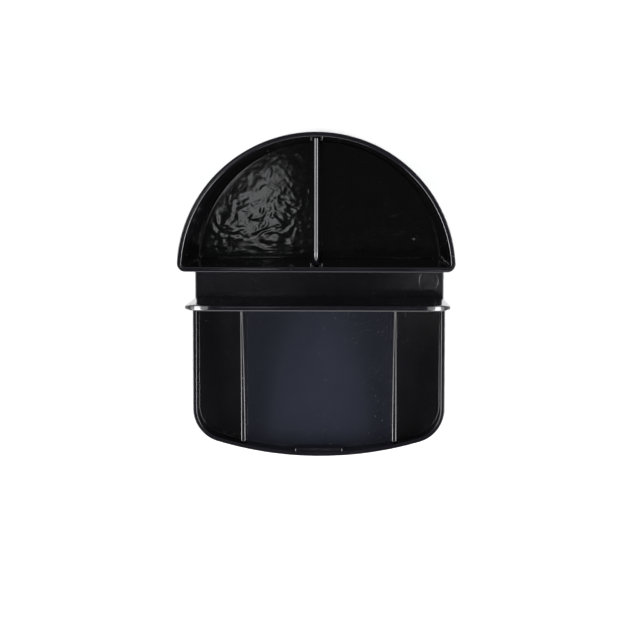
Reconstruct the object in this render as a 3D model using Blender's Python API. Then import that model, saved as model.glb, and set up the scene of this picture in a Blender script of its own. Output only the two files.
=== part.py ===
"""Desk organizer, modelled as separate mouldings that plug together.

A base moulding carries a low front tray and the floor of an open letter slot.
A D-shaped pencil cup, a tall panel and two tray dividers stand on it, each held
by tabs or pegs in the base. A divider drops into guide ribs inside the cup, and
four rubber feet sit in sockets underneath.

Metres, +Z up, front towards -Y. The origin is the middle of the bounding box at
the height of the surface that the feet stand on.
"""

import math

import bmesh
import bpy

# Overall sizes
HALF_WIDTH = 0.0685             # half the outside width at floor height, and the cup's radius there
CUP_TOP = 0.105                 # height of the cup's rim
PANEL_TOP = 0.071               # height of the letter panel
TRAY_TOP = 0.020                # height of the tray's rim
SLOT_GAP = 0.0186               # letter slot, cup to panel, at the floor
TRAY_DEPTH = 0.0826             # panel to the outside of the tray's front, at the rim
DRAFT = math.radians(1.0)       # lean of every outside wall

# Base moulding
SKIRT_BOTTOM = 0.0010           # lower edge of the skirt around the base
PLATE_BOTTOM = 0.0026           # underside of the floor plate
FLOOR_TOP = 0.0050              # top of the floor plate
SKIRT_WALL = 0.0022             # thickness of the skirt
TRAY_WALL = 0.0022              # thickness of the tray's wall
TRAY_CORNER = 0.0187            # outside radius of the tray's front corners
TRAY_BOW = 0.193                # outside radius of the tray's bowed front
FRONT_PAD_WIDTH = 0.026         # thickened stretch in the middle of the tray's front wall
FRONT_PAD_DEPTH = 0.0019
FRONT_PAD_DROP = 0.0012         # pad top below the rim
RIB_WIDTH = 0.0014              # stiffening ribs under the plate

# Pencil cup and its divider
CUP_WALL = 0.0023
CUP_FLOOR = 0.0020              # thickness of the cup's own floor
CUP_CORNER = 0.0041             # outside radius of the two front corners
CUP_CORNER_INSIDE = 0.0014      # least radius of the same corners on the inside
CUP_DIVIDER_THICKNESS = 0.0025
CUP_DIVIDER_DROP = 0.0004       # divider top below the rim
CUP_DIVIDER_ROUND = 0.0070      # radius where the divider's top turns down at the front
GUIDE_WIDTH = 0.0014            # guide ribs either side of the divider's ends
GUIDE_DEPTH = 0.0016
GUIDE_DROP = 0.0120             # guide ribs end this far below the rim
PEG_RADIUS = 0.0030             # pegs under the cup
PEG_SIDE = 0.0360               # side pegs from the centre line
PEG_INSET = 0.0120              # side pegs behind the cup's front face, back peg in front of its back

# Letter panel
PANEL_BASE_THICKNESS = 0.0044
PANEL_TOP_THICKNESS = 0.0032
PANEL_CORNER = 0.0050           # radius of the two top corners
PANEL_TAB_LENGTH = 0.0160
PANEL_TAB_SIDE = 0.0550         # outer tabs from the centre line

# Tray dividers
DIVIDER_SIDE = 0.0413           # middle of each divider from the centre line
DIVIDER_BACK_TOP = 0.0380       # height at the panel
DIVIDER_FRONT_TOP = 0.0188      # height at the front wall
DIVIDER_BASE_THICKNESS = 0.0034
DIVIDER_DRAFT = math.radians(1.9)
DIVIDER_SAG = 0.0030            # dip of the sloping top below a straight line
DIVIDER_TAB_LENGTH = 0.0120
DIVIDER_TAB_INSET = 0.0130      # tab middle from either end

# Feet
FOOT_RADIUS = 0.0060
FOOT_SOCKET_WALL = 0.0013
FOOT_INSET = 0.0150             # foot middle from the outside edge of the base

# Fits
CLEARANCE = 0.0003              # gap between pieces that touch
TAB_BOTTOM = 0.0014             # lower end of every tab and peg
OVERLAP = 0.0005                # how far an added shape runs into the shape it joins
CUT_MARGIN = 0.0100             # how far a cutter runs past what it cuts
ARC_STEP = math.radians(3.0)    # angle between points on round outlines
BOW_POINTS = 8                  # points that the bowed front has beyond those of its angle
ROUND_SIDES = 32                # sides of a peg, foot or round hole
SLOPE_STEPS = 12                # straight runs that make up a divider's curved top
WELD = 0.000005                 # points closer than this become one
SHARP_ANGLE = math.radians(30.0)

# Heights and places that follow from the sizes above
PIECE_BOTTOM = FLOOR_TOP + CLEARANCE        # underside of each piece that stands on the floor plate
CUP_INSIDE = PIECE_BOTTOM + CUP_FLOOR


def width_scale(height):
    """Outside width at a height, as a share of the width at the floor."""
    return 1.0 + (height - FLOOR_TOP) * math.tan(DRAFT) / HALF_WIDTH


TOTAL_DEPTH = HALF_WIDTH * width_scale(CUP_TOP) + SLOT_GAP + PANEL_BASE_THICKNESS + TRAY_DEPTH
CUP_FRONT = TOTAL_DEPTH / 2 - HALF_WIDTH * width_scale(CUP_TOP)
PANEL_BACK = CUP_FRONT - SLOT_GAP
PANEL_MIDDLE = PANEL_BACK - PANEL_BASE_THICKNESS / 2
PANEL_FRONT = PANEL_BACK - PANEL_BASE_THICKNESS
TRAY_FRONT_AT_FLOOR = PANEL_FRONT - TRAY_DEPTH / width_scale(TRAY_TOP)


def clear_scene():
    for thing in list(bpy.data.objects):
        bpy.data.objects.remove(thing, do_unlink=True)


def make_collection(name):
    group = bpy.data.collections.new(name)
    bpy.context.scene.collection.children.link(group)
    return group


def make_material(name, colour, roughness):
    material = bpy.data.materials.new(name)
    material.use_nodes = True
    shader = material.node_tree.nodes["Principled BSDF"]
    shader.inputs["Base Color"].default_value = (*colour, 1.0)
    shader.inputs["Roughness"].default_value = roughness
    shader.inputs["Metallic"].default_value = 0.0
    return material


# ---- Outlines ---------------------------------------------------------------

def arc(centre_x, centre_y, radius, start, end):
    """Points along an arc, both ends included."""
    steps = max(2, math.ceil(abs(end - start) / ARC_STEP))
    points = []
    for step in range(steps + 1):
        angle = start + (end - start) * step / steps
        points.append((centre_x + radius * math.cos(angle), centre_y + radius * math.sin(angle)))
    return points


def bowed_front(inset):
    """The tray's front from its right corner round to its left one, as seen from above."""
    corner = TRAY_CORNER - inset
    bow = TRAY_BOW - inset
    bow_centre = TRAY_FRONT_AT_FLOOR + TRAY_BOW
    corner_x = HALF_WIDTH - TRAY_CORNER
    reach = TRAY_BOW - TRAY_CORNER
    corner_y = bow_centre - math.sqrt(reach ** 2 - corner_x ** 2)
    lean = math.asin(corner_x / reach)
    middle = -math.pi / 2
    right = arc(corner_x, corner_y, corner, 0.0, middle + lean)
    left = arc(-corner_x, corner_y, corner, middle - lean, -math.pi)
    steps = 2 * math.ceil(lean / ARC_STEP) + BOW_POINTS
    front = []
    for step in range(1, steps):
        angle = middle + lean - 2 * lean * step / steps
        front.append((bow * math.cos(angle), bow_centre + bow * math.sin(angle)))
    return right + front + left


def base_outline(inset):
    back = arc(0.0, CUP_FRONT, HALF_WIDTH - inset, math.pi, 0.0)
    return back + bowed_front(inset)


def tray_hollow_outline():
    side = HALF_WIDTH - TRAY_WALL
    back = PANEL_FRONT + CUT_MARGIN
    return [(-side, back), (side, back)] + bowed_front(TRAY_WALL)


def cup_outline(inset):
    """Half disc with its two front corners rounded."""
    radius = HALF_WIDTH - inset
    corner = max(CUP_CORNER - inset, CUP_CORNER_INSIDE)
    front = CUP_FRONT + inset
    corner_y = front + corner
    reach = radius - corner
    corner_x = math.sqrt(reach ** 2 - (corner_y - CUP_FRONT) ** 2)
    tilt = math.atan2(corner_y - CUP_FRONT, corner_x)
    back = arc(0.0, CUP_FRONT, radius, tilt, math.pi - tilt)
    left = arc(-corner_x, corner_y, corner, math.pi - tilt, 1.5 * math.pi)
    right = arc(corner_x, corner_y, corner, -math.pi / 2, tilt)
    return back + left[1:] + right[:-1]


# ---- Shapes -----------------------------------------------------------------

def outline_mesh(name, points, thickness):
    """A flat outline with half its thickness either side of the XY plane."""
    curve = bpy.data.curves.new(name + "_outline", "CURVE")
    curve.dimensions = "2D"
    curve.fill_mode = "BOTH"
    curve.extrude = thickness / 2
    spline = curve.splines.new("POLY")
    spline.points.add(len(points) - 1)
    for point, place in zip(spline.points, points):
        point.co = (*place, 0.0, 1.0)
    spline.use_cyclic_u = True
    guide = bpy.data.objects.new(name + "_outline", curve)
    bpy.context.scene.collection.objects.link(guide)
    bpy.context.view_layer.update()
    evaluated = guide.evaluated_get(bpy.context.evaluated_depsgraph_get())
    mesh = bpy.data.meshes.new_from_object(evaluated)
    mesh.name = name
    bpy.data.objects.remove(guide, do_unlink=True)
    bpy.data.curves.remove(curve)
    return mesh


def finish_mesh(mesh, reshape):
    """Weld the caps, move each point by a rule and turn the faces outward."""
    shape = bmesh.new()
    shape.from_mesh(mesh)
    bmesh.ops.remove_doubles(shape, verts=shape.verts, dist=WELD)
    for vert in shape.verts:
        vert.co = reshape(vert.co.copy())
    bmesh.ops.recalc_face_normals(shape, faces=shape.faces)
    if shape.calc_volume(signed=True) < 0.0:
        bmesh.ops.reverse_faces(shape, faces=shape.faces)
    shape.to_mesh(mesh)
    shape.free()


def place(mesh, group):
    thing = bpy.data.objects.new(mesh.name, mesh)
    group.objects.link(thing)
    return thing


def drafted_prism(name, points, bottom, top, still_y, group):
    """An upright prism whose walls lean out; nothing moves along y = still_y."""
    mesh = outline_mesh(name, points, top - bottom)

    def reshape(spot):
        spot.z += (bottom + top) / 2
        scale = width_scale(spot.z)
        spot.x *= scale
        spot.y = still_y + (spot.y - still_y) * scale
        return spot

    finish_mesh(mesh, reshape)
    return place(mesh, group)


def box(name, low, high, group):
    mesh = bpy.data.meshes.new(name)
    shape = bmesh.new()
    bmesh.ops.create_cube(shape, size=1.0)
    for vert in shape.verts:
        for axis in range(3):
            middle = (low[axis] + high[axis]) / 2
            vert.co[axis] = middle + vert.co[axis] * (high[axis] - low[axis])
    shape.to_mesh(mesh)
    shape.free()
    return place(mesh, group)


def cylinder(name, spot, radius, bottom, top, group):
    mesh = bpy.data.meshes.new(name)
    shape = bmesh.new()
    bmesh.ops.create_cone(shape, cap_ends=True, segments=ROUND_SIDES, radius1=radius,
                          radius2=radius, depth=top - bottom)
    bmesh.ops.translate(shape, verts=shape.verts, vec=(*spot, (bottom + top) / 2))
    shape.to_mesh(mesh)
    shape.free()
    return place(mesh, group)


def boolean(target, other, operation):
    modifier = target.modifiers.new(operation.lower() + "_" + other.name, "BOOLEAN")
    modifier.operation = operation
    modifier.solver = "EXACT"
    modifier.object = other
    other.hide_render = True
    other.display_type = "WIRE"


# ---- Places shared by neighbouring pieces -------------------------------------

def peg_spots():
    side_y = CUP_FRONT + PEG_INSET
    back_y = CUP_FRONT + HALF_WIDTH - PEG_INSET
    return {"peg_left": (-PEG_SIDE, side_y), "peg_right": (PEG_SIDE, side_y), "peg_back": (0.0, back_y)}


def divider_ends():
    """Back and front ends of a tray divider, clear of the panel and the front wall."""
    bow_centre = TRAY_FRONT_AT_FLOOR + TRAY_BOW
    bow_inside = TRAY_BOW - TRAY_WALL
    nearest = DIVIDER_SIDE + DIVIDER_BASE_THICKNESS / 2
    wall = bow_centre - math.sqrt(bow_inside ** 2 - nearest ** 2)
    return PANEL_FRONT - CLEARANCE, wall + CLEARANCE


def divider_tab_middles():
    back, front = divider_ends()
    return {"back": back - DIVIDER_TAB_INSET, "front": front + DIVIDER_TAB_INSET}


def foot_spots():
    """Front feet inside the tray's corners, back feet inside the cup's round back."""
    front_x = HALF_WIDTH - FOOT_INSET
    front_y = TRAY_FRONT_AT_FLOOR + TRAY_CORNER + FOOT_INSET
    back_reach = (HALF_WIDTH - FOOT_INSET) * math.sqrt(0.5)
    back_y = CUP_FRONT + back_reach
    return {
        "foot_front_left": (-front_x, front_y),
        "foot_front_right": (front_x, front_y),
        "foot_back_left": (-back_reach, back_y),
        "foot_back_right": (back_reach, back_y),
    }


# ---- Pieces -----------------------------------------------------------------

def build_base(parts, cutters):
    base = drafted_prism("base_tray", base_outline(0.0), SKIRT_BOTTOM, TRAY_TOP, PANEL_FRONT, parts)

    hollow = drafted_prism("tray_hollow", tray_hollow_outline(), FLOOR_TOP, TRAY_TOP + CUT_MARGIN,
                           PANEL_FRONT, cutters)
    boolean(base, hollow, "DIFFERENCE")
    behind = box("space_behind_tray",
                 (-HALF_WIDTH - CUT_MARGIN, PANEL_FRONT - CLEARANCE, FLOOR_TOP),
                 (HALF_WIDTH + CUT_MARGIN, TOTAL_DEPTH / 2 + CUT_MARGIN, TRAY_TOP + CUT_MARGIN), cutters)
    boolean(base, behind, "DIFFERENCE")
    underside = drafted_prism("underside_hollow", base_outline(SKIRT_WALL), SKIRT_BOTTOM - CUT_MARGIN,
                              PLATE_BOTTOM, PANEL_FRONT, cutters)
    boolean(base, underside, "DIFFERENCE")

    wall_inside = PANEL_FRONT - (TRAY_DEPTH / width_scale(TRAY_TOP) - TRAY_WALL)
    pad = box("front_pad",
              (-FRONT_PAD_WIDTH / 2, wall_inside - TRAY_WALL / 2, FLOOR_TOP - OVERLAP),
              (FRONT_PAD_WIDTH / 2, wall_inside + FRONT_PAD_DEPTH, TRAY_TOP - FRONT_PAD_DROP), cutters)
    boolean(base, pad, "UNION")

    add_underside_ribs(base, cutters)
    for name, spot in foot_spots().items():
        boss = cylinder(name + "_boss", spot, FOOT_RADIUS + CLEARANCE + FOOT_SOCKET_WALL, SKIRT_BOTTOM,
                        PLATE_BOTTOM + OVERLAP, cutters)
        boolean(base, boss, "UNION")
        socket = cylinder(name + "_socket", spot, FOOT_RADIUS + CLEARANCE, SKIRT_BOTTOM - CUT_MARGIN,
                          PLATE_BOTTOM, cutters)
        boolean(base, socket, "DIFFERENCE")

    for name, spot in peg_spots().items():
        hole = cylinder(name + "_hole", spot, PEG_RADIUS + CLEARANCE, SKIRT_BOTTOM - CUT_MARGIN,
                        FLOOR_TOP + CUT_MARGIN, cutters)
        boolean(base, hole, "DIFFERENCE")
    cut_tab_slots(base, cutters)
    return base


def add_underside_ribs(base, cutters):
    """Two ribs across the base and one along its middle, under the floor plate."""
    bottom = SKIRT_BOTTOM + CLEARANCE
    top = PLATE_BOTTOM + OVERLAP
    reach = HALF_WIDTH - SKIRT_WALL / 2
    across = {"rib_under_slot": PANEL_BACK + SLOT_GAP / 2, "rib_under_tray": PANEL_FRONT - TRAY_DEPTH / 2}
    for name, middle in across.items():
        rib = box(name, (-reach, middle - RIB_WIDTH / 2, bottom), (reach, middle + RIB_WIDTH / 2, top),
                  cutters)
        boolean(base, rib, "UNION")
    along = box("rib_along", (-RIB_WIDTH / 2, across["rib_under_tray"], bottom),
                (RIB_WIDTH / 2, across["rib_under_slot"], top), cutters)
    boolean(base, along, "UNION")


def cut_tab_slots(base, cutters):
    below = SKIRT_BOTTOM - CUT_MARGIN
    above = FLOOR_TOP + CUT_MARGIN
    half_length = PANEL_TAB_LENGTH / 2 + CLEARANCE
    half_width = PANEL_BASE_THICKNESS / 2 + CLEARANCE
    for name, middle in (("left", -PANEL_TAB_SIDE), ("right", PANEL_TAB_SIDE)):
        slot = box("panel_slot_" + name,
                   (middle - half_length, PANEL_MIDDLE - half_width, below),
                   (middle + half_length, PANEL_MIDDLE + half_width, above), cutters)
        boolean(base, slot, "DIFFERENCE")

    half_length = DIVIDER_TAB_LENGTH / 2 + CLEARANCE
    half_width = DIVIDER_BASE_THICKNESS / 2 + CLEARANCE
    for side, side_x in (("left", -DIVIDER_SIDE), ("right", DIVIDER_SIDE)):
        for end, middle in divider_tab_middles().items():
            slot = box(f"divider_slot_{side}_{end}",
                       (side_x - half_width, middle - half_length, below),
                       (side_x + half_width, middle + half_length, above), cutters)
            boolean(base, slot, "DIFFERENCE")


def build_cup(parts, cutters):
    cup = drafted_prism("pencil_cup", cup_outline(0.0), PIECE_BOTTOM, CUP_TOP, CUP_FRONT, parts)
    hollow = drafted_prism("cup_hollow", cup_outline(CUP_WALL), CUP_INSIDE, CUP_TOP + CUT_MARGIN,
                           CUP_FRONT, cutters)
    boolean(cup, hollow, "DIFFERENCE")

    guide_top = CUP_TOP - GUIDE_DROP
    near = CUP_DIVIDER_THICKNESS / 2 + CLEARANCE
    far = near + GUIDE_WIDTH
    ends = {
        "front": (CUP_FRONT + CUP_WALL / 2, CUP_FRONT + CUP_WALL + GUIDE_DEPTH),
        "back": (CUP_FRONT + HALF_WIDTH - CUP_WALL - GUIDE_DEPTH, CUP_FRONT + HALF_WIDTH - CUP_WALL / 2),
    }
    for end, (low_y, high_y) in ends.items():
        for side, low_x, high_x in (("left", -far, -near), ("right", near, far)):
            corners = [(low_x, low_y), (high_x, low_y), (high_x, high_y), (low_x, high_y)]
            guide = drafted_prism(f"guide_{end}_{side}", corners, CUP_INSIDE - OVERLAP, guide_top,
                                  CUP_FRONT, cutters)
            boolean(cup, guide, "UNION")
    for name, spot in peg_spots().items():
        peg = cylinder(name, spot, PEG_RADIUS, TAB_BOTTOM, PIECE_BOTTOM + OVERLAP, cutters)
        boolean(cup, peg, "UNION")
    return cup


def build_cup_divider(parts):
    """A plate across the middle of the cup, its top turned down at the front."""
    front = CUP_FRONT + CUP_WALL + CLEARANCE
    back = CUP_FRONT + HALF_WIDTH - CUP_WALL - CLEARANCE
    bottom = CUP_INSIDE + CLEARANCE
    top = CUP_TOP - CUP_DIVIDER_DROP
    turn = arc(front + CUP_DIVIDER_ROUND, top - CUP_DIVIDER_ROUND, CUP_DIVIDER_ROUND, math.pi / 2,
               math.pi)
    corners = [(back, bottom), (back, top)] + turn + [(front, bottom)]
    mesh = outline_mesh("cup_divider", corners, CUP_DIVIDER_THICKNESS)

    def reshape(spot):
        depth, height, side = spot
        scale = width_scale(height)
        spot.x = side
        spot.y = CUP_FRONT + (depth - CUP_FRONT) * scale
        spot.z = height
        return spot

    finish_mesh(mesh, reshape)
    return place(mesh, parts)


def build_letter_panel(parts):
    """A tall plate with rounded top corners and two tabs, thinner towards its top."""
    turn_x = HALF_WIDTH - PANEL_CORNER
    turn_z = PANEL_TOP - PANEL_CORNER
    right = arc(turn_x, turn_z, PANEL_CORNER, 0.0, math.pi / 2)
    left = arc(-turn_x, turn_z, PANEL_CORNER, math.pi / 2, math.pi)
    points = [(HALF_WIDTH, PIECE_BOTTOM)] + right + left + [(-HALF_WIDTH, PIECE_BOTTOM)]
    for middle in (-PANEL_TAB_SIDE, PANEL_TAB_SIDE):
        start = middle - PANEL_TAB_LENGTH / 2
        end = middle + PANEL_TAB_LENGTH / 2
        points += [(start, PIECE_BOTTOM), (start, TAB_BOTTOM), (end, TAB_BOTTOM), (end, PIECE_BOTTOM)]
    mesh = outline_mesh("letter_panel", points, PANEL_BASE_THICKNESS)

    def reshape(spot):
        side, height, depth = spot
        rise = max(0.0, height - FLOOR_TOP) / (PANEL_TOP - FLOOR_TOP)
        thinning = 1.0 + (PANEL_TOP_THICKNESS / PANEL_BASE_THICKNESS - 1.0) * rise
        lean = width_scale(height) if height > FLOOR_TOP else 1.0
        spot.x = side * lean
        spot.y = PANEL_MIDDLE + depth * thinning
        spot.z = height
        return spot

    finish_mesh(mesh, reshape)
    return place(mesh, parts)


def build_tray_divider(name, side_x, parts):
    """A thin wall with two tabs; its top slopes down from the panel in a shallow curve."""
    back, front = divider_ends()
    points = []
    for step in range(SLOPE_STEPS + 1):
        share = step / SLOPE_STEPS
        height = DIVIDER_BACK_TOP + (DIVIDER_FRONT_TOP - DIVIDER_BACK_TOP) * share
        height -= DIVIDER_SAG * 4 * share * (1 - share)
        points.append((back + (front - back) * share, height))
    points.append((front, PIECE_BOTTOM))
    tabs = divider_tab_middles()
    for end in ("front", "back"):
        near = tabs[end] - DIVIDER_TAB_LENGTH / 2
        far = tabs[end] + DIVIDER_TAB_LENGTH / 2
        points += [(near, PIECE_BOTTOM), (near, TAB_BOTTOM), (far, TAB_BOTTOM), (far, PIECE_BOTTOM)]
    points.append((back, PIECE_BOTTOM))
    mesh = outline_mesh(name, points, DIVIDER_BASE_THICKNESS)

    def reshape(spot):
        depth, height, side = spot
        thinning = 1.0 - 2 * max(0.0, height - FLOOR_TOP) * math.tan(DIVIDER_DRAFT) / DIVIDER_BASE_THICKNESS
        spot.x = side_x + side * thinning
        spot.y = depth
        spot.z = height
        return spot

    finish_mesh(mesh, reshape)
    return place(mesh, parts)


def build_feet(parts):
    feet = []
    for name, spot in foot_spots().items():
        feet.append(cylinder(name, spot, FOOT_RADIUS, 0.0, PLATE_BOTTOM - CLEARANCE, parts))
    return feet


def shade(thing):
    thing.data.shade_smooth()
    thing.data.set_sharp_from_angle(angle=SHARP_ANGLE)


def build():
    clear_scene()
    parts = make_collection("desk_organizer")
    cutters = make_collection("cutters")
    plastic = [
        build_base(parts, cutters),
        build_cup(parts, cutters),
        build_cup_divider(parts),
        build_letter_panel(parts),
        build_tray_divider("tray_divider_left", -DIVIDER_SIDE, parts),
        build_tray_divider("tray_divider_right", DIVIDER_SIDE, parts),
    ]
    for piece in plastic:
        piece.data.materials.append(make_material(piece.name + "_gloss", (0.012, 0.012, 0.014), 0.12))
        shade(piece)
    for foot in build_feet(parts):
        foot.data.materials.append(make_material(foot.name + "_rubber", (0.02, 0.02, 0.02), 0.8))
        shade(foot)


build()
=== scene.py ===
"""Looks for the desk organizer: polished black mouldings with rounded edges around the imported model."""

import math

import bmesh
import bpy
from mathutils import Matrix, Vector, noise


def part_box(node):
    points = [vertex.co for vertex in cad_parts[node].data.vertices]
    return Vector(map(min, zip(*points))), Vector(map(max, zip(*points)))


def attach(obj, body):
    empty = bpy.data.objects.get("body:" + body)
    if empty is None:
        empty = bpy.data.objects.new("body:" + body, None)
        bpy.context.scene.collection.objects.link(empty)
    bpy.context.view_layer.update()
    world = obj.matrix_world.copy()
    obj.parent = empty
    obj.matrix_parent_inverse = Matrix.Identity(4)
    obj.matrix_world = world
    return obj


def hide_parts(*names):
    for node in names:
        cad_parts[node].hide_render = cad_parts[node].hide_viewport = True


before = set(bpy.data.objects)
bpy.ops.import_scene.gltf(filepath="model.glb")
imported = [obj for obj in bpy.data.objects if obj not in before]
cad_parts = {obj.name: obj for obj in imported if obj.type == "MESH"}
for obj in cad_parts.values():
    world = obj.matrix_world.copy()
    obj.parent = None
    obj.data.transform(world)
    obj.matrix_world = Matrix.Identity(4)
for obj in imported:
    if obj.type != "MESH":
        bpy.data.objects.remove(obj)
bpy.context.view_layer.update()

# ---- Places and sizes, in metres -----------------------------------------------------------------

BASE_LOW, BASE_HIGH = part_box("base_tray")
CUP_LOW, CUP_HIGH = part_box("pencil_cup")
PANEL_LOW, PANEL_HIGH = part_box("letter_panel")
CUP_DIVIDER_LOW, CUP_DIVIDER_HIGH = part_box("cup_divider")
TRAY_DIVIDERS = ("tray_divider_left", "tray_divider_right")
FEET = ("foot_front_left", "foot_front_right", "foot_back_left", "foot_back_right")

DRAFT = math.tan(math.radians(1.0))     # outward lean of every outside wall
CLEARANCE = 0.0003                      # gap between pieces that touch
FLOOR_TOP = 0.0050                      # top of the floor plate
PLATE_BOTTOM = 0.0026                   # underside of the floor plate
SKIRT_WALL = 0.0022
TRAY_WALL = 0.0022
TRAY_CORNER = 0.0187                    # outside radius of the tray's front corners
TRAY_BOW = 0.193                        # outside radius of the bowed front
FRONT_PAD_WIDTH = 0.026
FRONT_PAD_DEPTH = 0.0019
FRONT_PAD_DROP = 0.0012
RIB_WIDTH = 0.0014
CUP_WALL = 0.0023
CUP_FLOOR = 0.0020
CUP_CORNER = 0.0041                     # outside radius of the cup's front corners
CUP_CORNER_INSIDE = 0.0012              # least radius of the same corners on the inside
CUP_DIVIDER_TURN = 0.0070               # radius where the divider's top turns down
GUIDE_WIDTH = 0.0014
GUIDE_DEPTH = 0.0016
GUIDE_DROP = 0.0120
PEG_RADIUS = 0.0030
PEG_SIDE = 0.0360
PEG_INSET = 0.0120
PANEL_TOP_THICKNESS = 0.0032
PANEL_CORNER_WIDE = 0.0180              # the top corners start to fall this far from the ends
PANEL_CORNER_DEEP = 0.0085              # and end this far below the top
PANEL_TAB_LENGTH = 0.0160
PANEL_TAB_SIDE = 0.0550
DIVIDER_BACK_TOP = 0.0380
DIVIDER_FRONT_TOP = 0.0188
DIVIDER_DRAFT = math.tan(math.radians(1.9))
DIVIDER_SAG = 0.0030
DIVIDER_TAB_LENGTH = 0.0120
DIVIDER_TAB_INSET = 0.0130
FOOT_SOCKET_WALL = 0.0013
EJECTOR_SPOT = (0.0603, 0.0075)         # round mark that an ejector pin left on the slot's floor
EJECTOR_RADIUS = 0.0053

HALF_WIDTH = BASE_HIGH.x - (BASE_HIGH.z - FLOOR_TOP) * DRAFT
CUP_FRONT = CUP_LOW.y
CUP_TOP = CUP_HIGH.z
PIECE_BOTTOM = FLOOR_TOP + CLEARANCE    # underside of each piece that stands on the floor plate
CUP_INSIDE = PIECE_BOTTOM + CUP_FLOOR
SKIRT_BOTTOM = BASE_LOW.z
TRAY_TOP = BASE_HIGH.z
PANEL_FRONT = PANEL_LOW.y
PANEL_TOP = PANEL_HIGH.z
PANEL_MIDDLE = (PANEL_LOW.y + PANEL_HIGH.y) / 2
PANEL_THICKNESS = PANEL_HIGH.y - PANEL_LOW.y
TAB_BOTTOM = PANEL_LOW.z
WALL_END = PANEL_FRONT - CLEARANCE      # where the tray's side walls stop

# ---- Edge roundings, in metres -------------------------------------------------------------------

CUP_RIM_ROUND = 0.00042
CUP_FOOT_ROUND = 0.00060
CUP_FILLET = 0.00040                    # inside the cup, wall to floor
TRAY_RIM_ROUND = 0.00042
TRAY_FILLET = 0.00018
PLATE_EDGE_ROUND = 0.00050
SKIRT_ROUND = 0.00030
PANEL_ROUND = 0.00085
PANEL_ROUND_LIMIT = 0.95                # most that the rounding takes of half the panel's thickness
CUP_DIVIDER_ROUND = 0.00118
TRAY_DIVIDER_ROUND = 0.00055
SMALL_ROUND = 0.00025                   # tabs, ribs and guides
ROUND_STEPS = 6
CORNER_STEPS = 8
BEVEL_STEPS = 4
SNUG = 0.00006                          # gap round a tab where it enters the floor
SUPPORT = 0.0004                        # narrow strip that keeps a flat face flat beside a rounding
OVERLAP = 0.0005                        # how far a joined shape runs into its neighbour
CUT_MARGIN = 0.0040                     # how far a cutter runs past what it cuts
POINT_GAP = 0.0025                      # spacing of points along straight sides
LEAST_CORNER = 0.00008                  # a corner keeps at least this radius when it is pulled in
WELD = 0.000002
SHARP_ANGLE = math.radians(40.0)

# ---- Counts and small details --------------------------------------------------------------------

ROUND_SIDES = 72
BASE_BACK_STEPS = 120
TRAY_CORNER_STEPS = 24
BOW_STEPS = 48
BOW_TRIM = 0.006                        # angle left out at each end of the bow, in radians
PLATE_EDGE_LEVELS = 3
TRAY_WALL_LEVELS = 6
CUP_BACK_STEPS = 240
CUP_CORNER_STEPS = 10
CUP_FRONT_STEPS = 60
CUP_LEVELS = 14
CUP_FLOOR_RINGS = 80
CUP_FLOOR_MIDDLE = 0.42                 # the floor's rings close on this share of the half width
DIVIDER_SLOPE_STEPS = 24
RIPPLE_LENGTH = 0.0042                  # metres from wave to wave in the cup's floor
RIPPLE_HEIGHT = 0.000042
RIPPLE_CALM = 0.35                      # share of the ripple left at the back of the cup
RIPPLE_REACH = 0.038                    # the ripple fades to that share over this depth
RIPPLE_FADE = 0.004                     # and is flat by the walls
RIPPLE_WARP = 0.9                       # how far the waves are bent sideways
RIPPLE_WARP_SCALE = 0.6
RIPPLE_WARP_SHIFT = Vector((7.3, 2.1, 0.0))
RIPPLE_FOLD = 0.35                      # sharper creases laid over the waves
RIPPLE_FOLD_SCALE = 1.7
RIPPLE_FOLD_SHIFT = Vector((3.9, 8.2, 0.0))
FRONT_PAD_ROUND = 0.0005
EJECTOR_GROOVE = 0.00022
GROOVE_SIDES = 96
GROOVE_STEPS = 12
DIVIDER_CORNER = 0.0008
PANEL_LEVELS = 14
PANEL_FLAT_STEPS = 24
PANEL_CORNER_STEPS = 24
PANEL_NOSE = 0.0080                     # the panel draws together over this length at each end
PANEL_NOSE_POWER = 2.5
PANEL_TIP = 0.40                        # share of its thickness left at the tip
FOOT_ROUND = 0.00045
# Share of the foot's radius, and height of its face there
FOOT_FACE = ((0.02, 0.0), (0.40, 0.0), (0.44, 0.00025), (0.52, 0.00025), (0.56, 0.0), (0.70, 0.0),
             (0.74, 0.00025), (0.80, 0.00025), (0.84, 0.0))

# ---- Finishes ------------------------------------------------------------------------------------

PLASTIC_IOR = 1.50
TRAY_POLISH = 0.10                      # roughness of each moulding where nobody handles it
CUP_POLISH = 0.045
WALL_POLISH = 0.09
DEEP_BLACK = (0.0015, 0.0013, 0.0020)
WORN_BLACK = (0.0024, 0.0021, 0.0032)
PLASTIC_SKIN = {"Peel": 0.12, "Grain": 0.04, "Sink": 0.9}
PLASTIC_RELIEF = 0.000012
SMUDGE_GAIN = 1.5                       # how much duller a handled patch is
SCRATCH_DULLING = 0.10
SCRATCH_DEPTH = 0.25                    # share of the skin's relief
EDGE_DULLING = 0.06
DUST_DULLING = 0.4
SATIN_DARK = (0.0036, 0.0042, 0.0075)
SATIN_LIGHT = (0.0041, 0.0048, 0.0084)
SATIN_ROUGHNESS = 0.20
SATIN_ROUGHEST = 1.12                   # roughness of its duller patches, as a multiple
SATIN_FEATHER = 0.0004
MOTTLE = (0.3, 0.7)                     # noise values between which one tone gives way to the other
DUST_COLOUR = (0.30, 0.29, 0.27)
DUST_SHADE = 0.14
RUBBER_SKIN = {"Peel": 0.2, "Grain": 1.0, "Sink": 0.0}
RUBBER_DARK = (0.012, 0.012, 0.013)
RUBBER_LIGHT = (0.024, 0.024, 0.025)
RUBBER_WORN = (0.060, 0.058, 0.055)
RUBBER_ROUGHNESS = (0.62, 0.82)
RUBBER_RELIEF = 0.00006
PAPER_DARK = (0.385, 0.385, 0.385)
PAPER_LIGHT = (0.40, 0.40, 0.40)
PAPER_ROUGHNESS = 0.9
PAPER_SHEEN = 0.1
PAPER_RELIEF = 0.0002

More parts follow.
